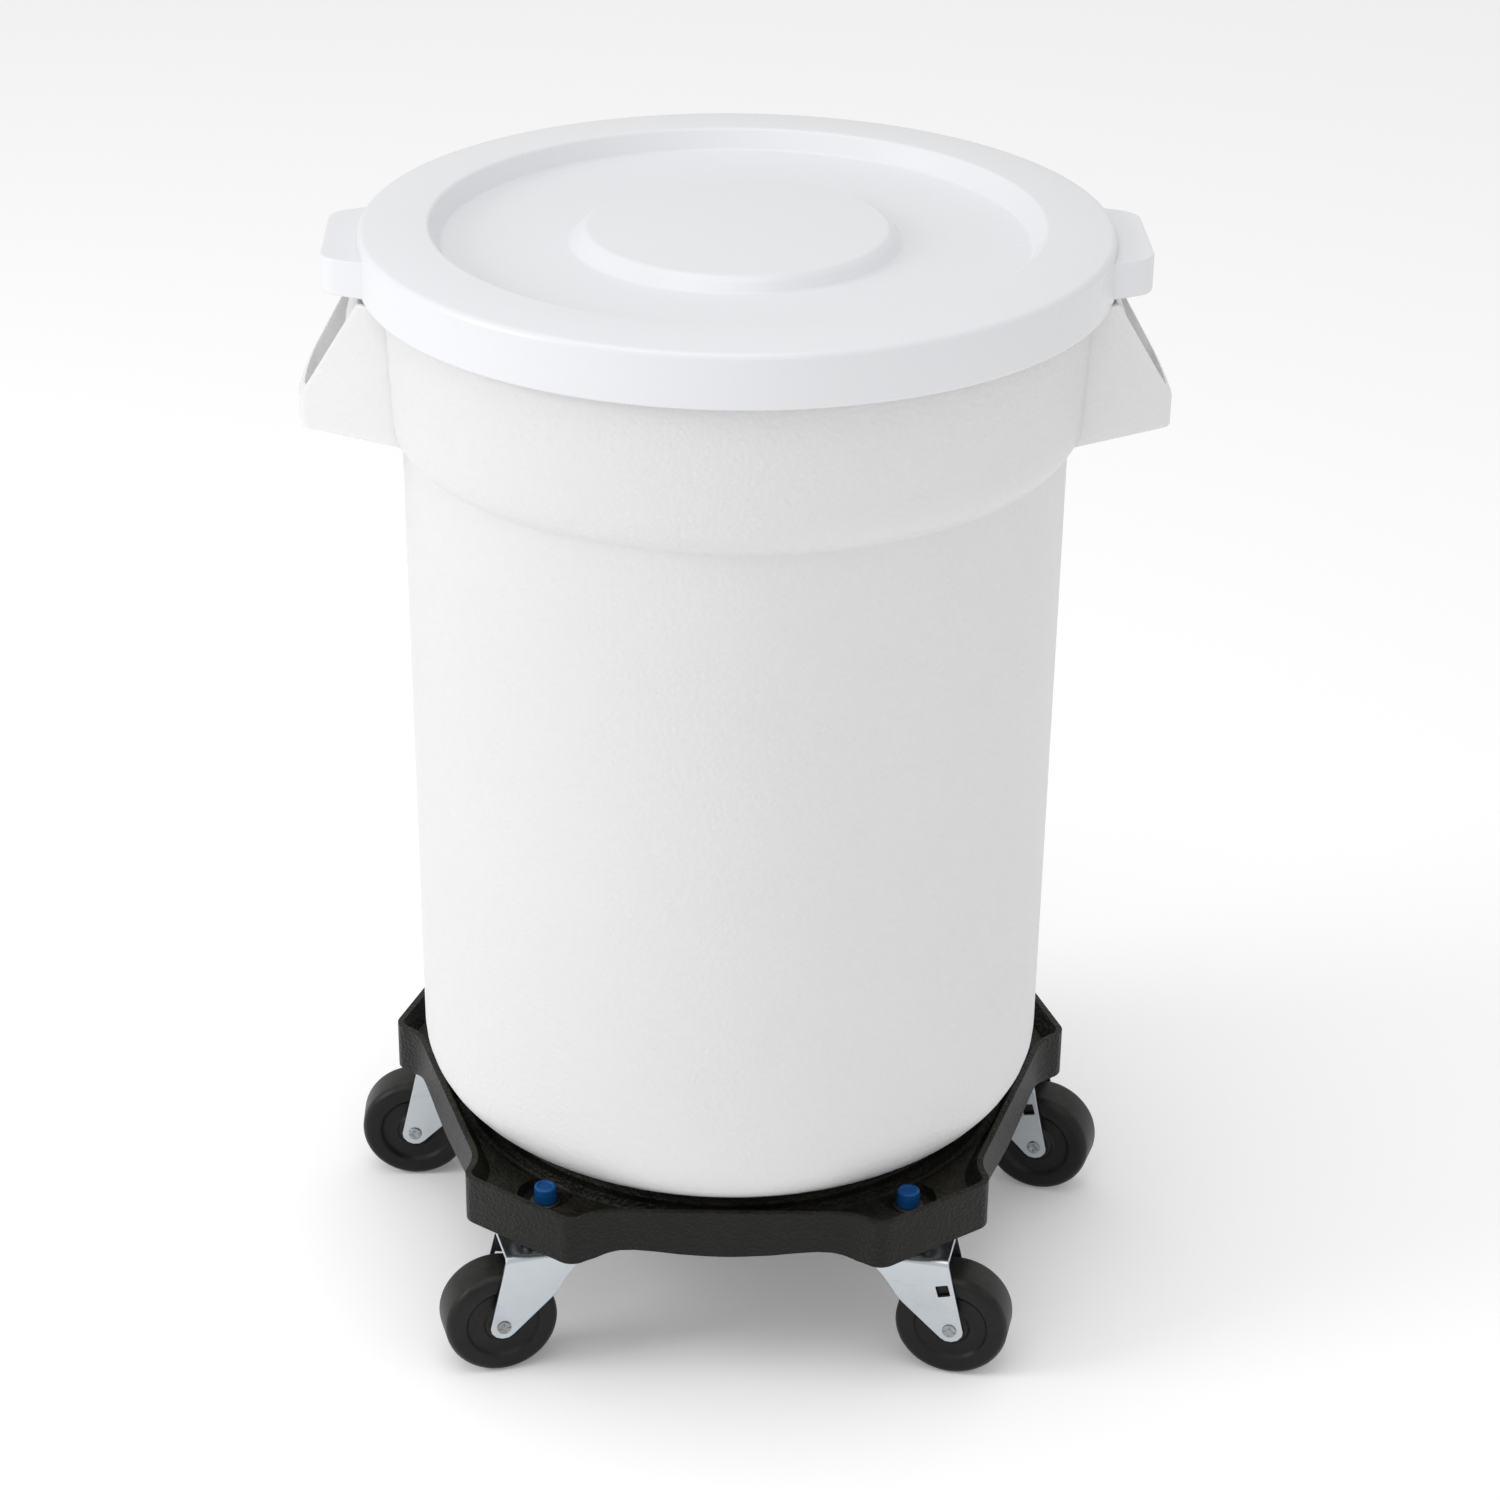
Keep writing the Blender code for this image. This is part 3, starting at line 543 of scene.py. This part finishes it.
# %% Lid shell
lid_outline = [
    (0, 743.6, 0), (95.5, 743.6, 1.6), (99.5, 740.5, 1.2), (105, 734, 1.8), (186, 734, 2),
    (193.6, 747.9, 1.8), (238.0, 745.4, 4), (238.8, 712.6, 0.7), (238.2, 711.5, 0.5),
    (235.8, 711.5, 0.5), (235.8, 741.9, 1.5), (196, 742.4, 2), (188.5, 731, 2.5), (104, 731, 2),
    (95, 740.6, 2), (0, 740.6, 0),
]
lid = finished(
    placed(spun(lid_outline, 160, 6), TUB_TURN), "lid_shell", white_lid, "lid", ["lid"], sharp=60
)
print("lid:", len(lid.data.polygons), "faces")


# %% Lid tabs
TAB_TIP_X, TAB_LOW, TAB_HIGH = 259.0, 713.8, 737.5
TAB_SHEET = 3.0


def tab_block(inset, low, high, near):
    """The tab's solid, pulled in by inset; it narrows from its root at the skirt to its tip."""
    tip = TAB_TIP_X - inset
    half = {near: 56 - (near - 234) * 0.44 - inset, tip: 45 - inset * 0.7}
    corners = [(x, side * half[x], 11 if x == tip else 0)
               for x, side in ((near, -1), (tip, -1), (tip, 1), (near, 1))]
    return plate(corners, low, high, 5)


skirt_inside = [(0, 690, 0), (237.3, 690, 0), (237.3, 740.5, 0), (0, 740.5, 0)]
tab_room = tab_block(TAB_SHEET, TAB_LOW - 10, TAB_HIGH - TAB_SHEET, 220)
tab = crossed(tab_block(0, TAB_LOW, TAB_HIGH, 228), [tab_room, spun(skirt_inside, 160)], "DIFFERENCE")
for side, turn in (("right", 0.0), ("left", math.pi)):
    piece = finished(
        copied(tab, TUB_TURN @ Matrix.Rotation(turn, 4, "Z")), f"lid_tab_{side}", white_lid, "lid",
        edge=1.3,
    )
    print(piece.name, len(piece.data.polygons), "faces")
tab.free()

# %% [markdown]
# ## The dolly
# The dolly is a black tray with five lobes, one over each caster. Its outline has twenty corners that
# repeat five times, so they are worked out from one lobe. The face is extruded to a block, and two
# insets on top make the thin rim and the sloping inner wall. Round pockets for the caster tops, the
# waves in the lower edge and the hollows below are then cut out.

# %% Dolly block
LOBE_FACE, SIDE_FACE = 236.0, 205.0
DOLLY_LOW, DOLLY_HIGH = 104.5, 138.6
SHELF = 127.0
DECK = 120.0
RIM_WIDTH, RIM_SLOPE = 4.2, 7.5
CASTER_OUT = 205.0
LOBES = (-36.0, 36.0, -108.0, 108.0, 180.0)


def outward(angle):
    return Vector((math.sin(math.radians(angle)), -math.cos(math.radians(angle)), 0))


def about(angle, out, across):
    """The point that lies out from the centre and across, seen along a lobe or a side."""
    along = outward(angle)
    return along * out + Vector((-along.y, along.x, 0)) * across


lobe_root = (SIDE_FACE - 54 * math.sin(math.radians(36))) / math.cos(math.radians(36))
outline = []
for i in range(5):
    for out, across, rounding in (
        (lobe_root, -54, 9), (LOBE_FACE, -46, 8), (LOBE_FACE, 46, 8), (lobe_root, 54, 9)
    ):
        point = about(-108 + 72 * i, out, across)
        outline.append((point.x, point.y, rounding))
block = plate(outline, DOLLY_LOW, DOLLY_HIGH, 5)
top = [f for f in block.faces if f.normal.z > 0.9]
bmesh.ops.inset_region(block, faces=top, thickness=RIM_WIDTH * MM, use_even_offset=True)
bmesh.ops.inset_region(
    block, faces=top, thickness=RIM_SLOPE * MM, depth=(SHELF - DOLLY_HIGH) * MM, use_even_offset=True
)
print("dolly block:", len(block.faces), "faces, rim at", DOLLY_HIGH, "mm")

# %% Dolly seat, pockets and ribs
SEAT_HIGH, LOCATOR_HIGH = 136.7, 141.0
seat_outline = [
    (0, DECK, 0), (186, DECK, 0), (168, SEAT_HIGH, 2), (142, SEAT_HIGH, 1), (140, LOCATOR_HIGH, 1),
    (0, LOCATOR_HIGH, 0),
]
seat = spun(seat_outline, 120)
channel = spun([(187, DECK + 0.4, 2), (194, DECK + 0.4, 2), (199, 134, 0), (176, 150, 0)], 120)
cutters = [channel]
waves = [
    (-86, 99), (-86, DOLLY_LOW), (-79, 106.6), (-70, 108.8), (-60, 109.2), (-46, 108), (-30, 106),
    (-14, 104.9), (0, 104.3), (14, 104.9), (30, 106), (46, 108), (60, 109.2), (70, 108.8), (79, 106.6),
    (86, DOLLY_LOW), (86, 99),
]
wave = plate([(x, z, 0) for x, z in waves], 150, 240)
stand_up = Matrix.Rotation(math.radians(90), 4, "X")
for i, lobe in enumerate(LOBES):
    spot = about(lobe, CASTER_OUT, 0) * MM
    pocket = spun([(0, DECK, 0), (16, DECK, 2), (19, SHELF + 0.5, 0), (19, 150, 0), (0, 150, 0)], 48)
    cutters.append(placed(pocket, Matrix.Translation(spot)))
    bore = spun([(0, 90, 0), (5.8, 90, 0), (5.8, 130, 0), (0, 130, 0)], 24)
    cutters.append(placed(bore, Matrix.Translation(spot)))
    cutters.append(copied(wave, Matrix.Rotation(math.radians(72 * i), 4, "Z") @ stand_up))
wave.free()


def sector(inner, outer, centre, high, rib=5.0):
    """A hollow between two radii and two ribs, a tenth of the circle wide, open below."""
    corners = []
    for radius, order in ((inner, (-1, 0, 1)), (outer, (1, 0, -1))):
        half = 18 - math.degrees(math.asin(rib / 2 / radius))
        corners += [(*(outward(centre + half * share) * radius).xy, 0) for share in order]
    return plate(corners, DOLLY_LOW - 10, high)


for i in range(10):
    cutters += [sector(32, 92, 18 + 36 * i, 132), sector(98, 158, 18 + 36 * i, 132)]
for i in range(5):
    hollow = [about(72 * i, out, across) for out, across in ((170, -96), (199, -88), (199, 88), (170, 96))]
    cutters.append(plate([(p.x, p.y, 3) for p in hollow], DOLLY_LOW - 10, 116))
block = crossed(block, [seat], "UNION")
dolly = finished(
    crossed(block, cutters, "DIFFERENCE"), "dolly_tray", black_dolly, "dolly", ["dolly_frame"],
    edge=1.7,
)
print("dolly:", len(dolly.data.polygons), "faces")

# %% [markdown]
# ## Casters
# Five equal casters carry the dolly, each turned its own way. Every part is modelled once about its
# own axis, then copied to its place: about the swivel axis for the upper parts, and about the axle for
# the wheel. The headings below are those of the frame.

# %% Caster places
CASTERS = (
    ("front_left", -36.0, 196.0), ("front_right", 36.0, -12.0), ("side_left", -108.0, 182.0),
    ("side_right", 108.0, -19.0), ("rear", 180.0, 180.0),
)
TRAIL, AXLE_HEIGHT = 34.0, 38.1


def swivel_place(angle, heading):
    spot = about(angle, CASTER_OUT, 0) * MM
    return Matrix.Translation(spot) @ Matrix.Rotation(math.radians(heading), 4, "Z")


AXLE_PLACE = Matrix.Translation((TRAIL * MM, 0, AXLE_HEIGHT * MM)) @ stand_up
print("caster names:", [name for name, _, _ in CASTERS])

# %% [markdown]
# ## Fork
# The fork is one steel strip: a flat crown on top and two legs bent down that hold the axle. A bent
# strip could be folded from a flat one, but crossing two simple solids is surer: the strip seen from
# the front, with its rounded bends, and the leg seen from the side.

# %% Fork
HALF_OUT, SHEET, CROWN = 19.7, 2.3, 92.0
inside = HALF_OUT - SHEET
strip = [
    (-HALF_OUT, 20, 0), (-HALF_OUT, CROWN, 5), (HALF_OUT, CROWN, 5), (HALF_OUT, 20, 0), (inside, 20, 0),
    (inside, CROWN - SHEET, 2.7), (-inside, CROWN - SHEET, 2.7), (-inside, 20, 0),
]
quarter = Matrix.Rotation(math.radians(90), 4, "Z")
bent = placed(plate(strip, -60, 80, 6), quarter @ stand_up)
leg = [
    (-20, 100, 0), (31, 100, 0), (31, CROWN, 0), (43.2, 38, 0), (42.6, 34.3, 0), (39.8, 30.8, 0),
    (35.6, 29, 0), (31.2, 29.3, 0), (27.6, 31.5, 0), (-1, 58.5, 4), (-11, 74, 6), (-20, 84, 2),
]
side_view = placed(plate(leg, -40, 40, 5), stand_up)
fork = crossed(bent, [side_view], "INTERSECT")
HOLE_HALF, HOLE_X, HOLE_Z, HOLE_TURN = 4.2, 28.5, 69.0, 15.0
square = [(x * HOLE_HALF, y * HOLE_HALF, 0.7) for x, y in ((-1, -1), (1, -1), (1, 1), (-1, 1))]
brake_slot = plate(square, inside - 5, HALF_OUT + 10, 3)
slot_place = Matrix.Translation((HOLE_X * MM, 0, HOLE_Z * MM)) @ stand_up
slot_place = slot_place @ Matrix.Rotation(math.radians(HOLE_TURN), 4, "Z")
axle_hole = placed(spun([(0, -40, 0), (4.3, -40, 0), (4.3, 40, 0), (0, 40, 0)], 32), AXLE_PLACE)
stem_hole = spun([(0, 80, 0), (5.8, 80, 0), (5.8, 100, 0), (0, 100, 0)], 32)
fork = crossed(fork, [placed(brake_slot, slot_place), axle_hole, stem_hole], "DIFFERENCE")
print("fork:", len(fork.faces), "faces")

# %% [markdown]
# ## Wheel
# The wheel is hard and solid: a tread with round shoulders, a groove pressed into each side, and a
# hub that stands a little proud. It is symmetric, so its outline is drawn for one side and mirrored.

# %% Wheel and axle
wheel_side = [
    (6.7, 17.0, 0.5), (11.4, 17.0, 1.2), (13.4, 13.8, 1.4), (23.2, 13.2, 1.6), (25.4, 16.4, 1.2),
    (34.2, 16.6, 1.8), (38.1, 13.4, 3.0),
]
wheel = spun([*reversed(wheel_side)] + [(r, -h, c) for r, h, c in wheel_side], 96, 4)
bushing = spun([(4.3, -17.1, 0), (4.3, 17.1, 0), (6.4, 17.1, 0.5), (6.4, -17.1, 0.5)], 32, 2)
rivet_end = [(4.0, 19.9, 0), (4.85, 19.9, 0.2), (4.6, 20.9, 0.3), (2.2, 21.1, 0.4), (1.6, 20.6, 0.3)]
rivet = spun(
    [(0, 20.6, 0), *reversed(rivet_end), (4.0, 0, 0)]
    + [(r, -h, c) for r, h, c in rivet_end] + [(0, -20.6, 0)], 32, 2,
)
punched = []
for face in rivet.faces:
    middle = face.calc_center_median()
    around = int(math.degrees(math.atan2(*middle.xy)) + 360)
    on_head = abs(middle.z) > 20.7 * MM and 2.4 * MM < middle.xy.length < 4.3 * MM
    if on_head and around % 90 < 12:
        punched.append(face)
bmesh.ops.inset_individual(rivet, faces=punched, thickness=0.1 * MM, depth=-0.45 * MM)
print("wheel", len(wheel.faces), "faces; rivet", len(rivet.faces), "faces;", len(punched), "punch marks")

# %% [markdown]
# ## Swivel parts
# The swivel turns on a ring of balls between the fork's crown and a pressed race under the lobe. The
# kingpin runs up through both and through the deck, where a washer holds it and a blue cap covers
# its end. The race, pin, washer and cap are spun; the balls are small spheres set round a thin cage.

# %% Swivel parts
race = spun(
    [(5.8, 102.2, 0), (13, 102.2, 1), (15, 98.2, 1), (21.5, 98.2, 1), (23.8, 101.2, 1), (24, 104.2, 0.5),
     (5.8, 104.2, 0)], 64, 3,
)
pin = spun(
    [(0, 86.4, 0), (8, 86.4, 0.8), (9.5, 87.6, 0.6), (9.5, 89.4, 0.3), (5.5, 89.4, 0), (5.5, 129.5, 0.9),
     (0, 129.5, 0)], 32, 3,
)
washer = spun([(5.8, 120.3, 0.2), (10, 120.3, 0.3), (10, 121.8, 0.4), (5.8, 121.8, 0.2)], 48, 2)
cap = spun(
    [(5.8, 122.1, 0), (7.8, 122.1, 0.3), (7.45, 133, 1.0), (5.2, 133, 0.3), (4.7, 132.2, 0.3),
     (0, 132.2, 0), (0, 129.9, 0), (5.8, 129.9, 0)], 48, 3,
)
balls = spun([(13.2, 94.6, 0.2), (19.8, 94.6, 0.2), (19.8, 95.6, 0.2), (13.2, 95.6, 0.2)], 48, 1)
BALLS = 14
for i in range(BALLS):
    spot = Matrix.Rotation(math.tau * i / BALLS, 4, "Z") @ Matrix.Translation((0.0165, 0, 0.0951))
    bmesh.ops.create_uvsphere(balls, u_segments=12, v_segments=8, radius=2.7 * MM, matrix=spot)
print("race, pin, washer and cap spun;", BALLS, "balls")

# %% Place all casters
CASTER_PARTS = (
    ("stem", pin, bright_zinc, "dolly", "zinc", False, 0.0),
    ("stem_washer", washer, dull_zinc, "dolly", "zinc", False, 0.0),
    ("stem_cap", cap, blue_cap, "dolly", "cap", False, 0.0),
    ("top_race", race, dull_zinc, "dolly", "zinc", False, 0.0),
    ("ball_ring", balls, dull_zinc, "dolly", "zinc", False, 0.0),
    ("fork", fork, bright_zinc, "swivel", "zinc", False, 0.45),
    ("axle_rivet", rivet, staked_zinc, "swivel", "zinc", True, 0.0),
    ("bushing", bushing, bright_zinc, "swivel", "zinc", True, 0.0),
    ("wheel", wheel, black_wheel, "wheel", "wheel", True, 0.0),
)
for name, angle, heading in CASTERS:
    swivel = swivel_place(angle, heading)
    for part, shape, material, body, slot, on_axle, edge in CASTER_PARTS:
        place = swivel @ AXLE_PLACE if on_axle else swivel
        rides_on = body if body == "dolly" else f"{body}_{name}"
        finished(
            copied(shape, place), f"{name}_{part}", material, rides_on, [f"caster_{name}_{part}"],
            edge=edge,
        )
for _, shape, *_ in CASTER_PARTS:
    shape.free()
print("casters placed:", len(CASTERS) * len(CASTER_PARTS), "pieces")
